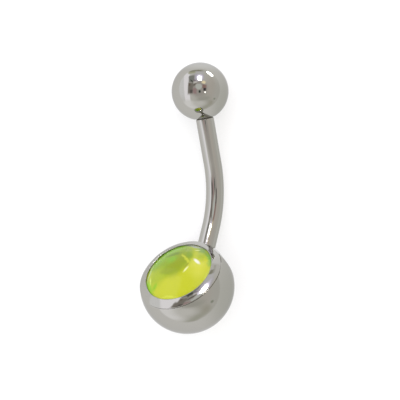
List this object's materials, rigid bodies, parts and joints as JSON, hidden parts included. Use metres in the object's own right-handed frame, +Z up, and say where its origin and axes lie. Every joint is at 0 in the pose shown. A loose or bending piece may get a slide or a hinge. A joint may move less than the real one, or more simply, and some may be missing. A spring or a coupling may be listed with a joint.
{
  "type": "belly button ring",
  "caption": "Curved navel barbell: a small plain ball screws on to the bent bar, and a larger ball below holds a domed stone in a bezel.",
  "frame": {"origin": "the floor under the middle of the part's box, as the ring lies at rest on both balls and the belly of the bar", "axes": "+Z up from the floor, +Y along the line from the stone ball towards the plain ball, +X to the side that the bar bows out to"},
  "size_m": [0.008, 0.0234, 0.0079],
  "materials": {
    "polished_steel": "polished",
    "green_stone": "gloss"
  },
  "bodies": {
    "ring": {"curved_bar": "polished_steel", "jewel_ball": "polished_steel", "stone": "green_stone"},
    "ball": {"top_ball": "polished_steel"}
  },
  "joints": [
    {"name": "ball_unscrew", "type": "slide", "parent": "ring", "child": "ball", "axis": [-0.2163, 0.9507, 0.2223], "range_m": [0, 0.006]}
  ]
}
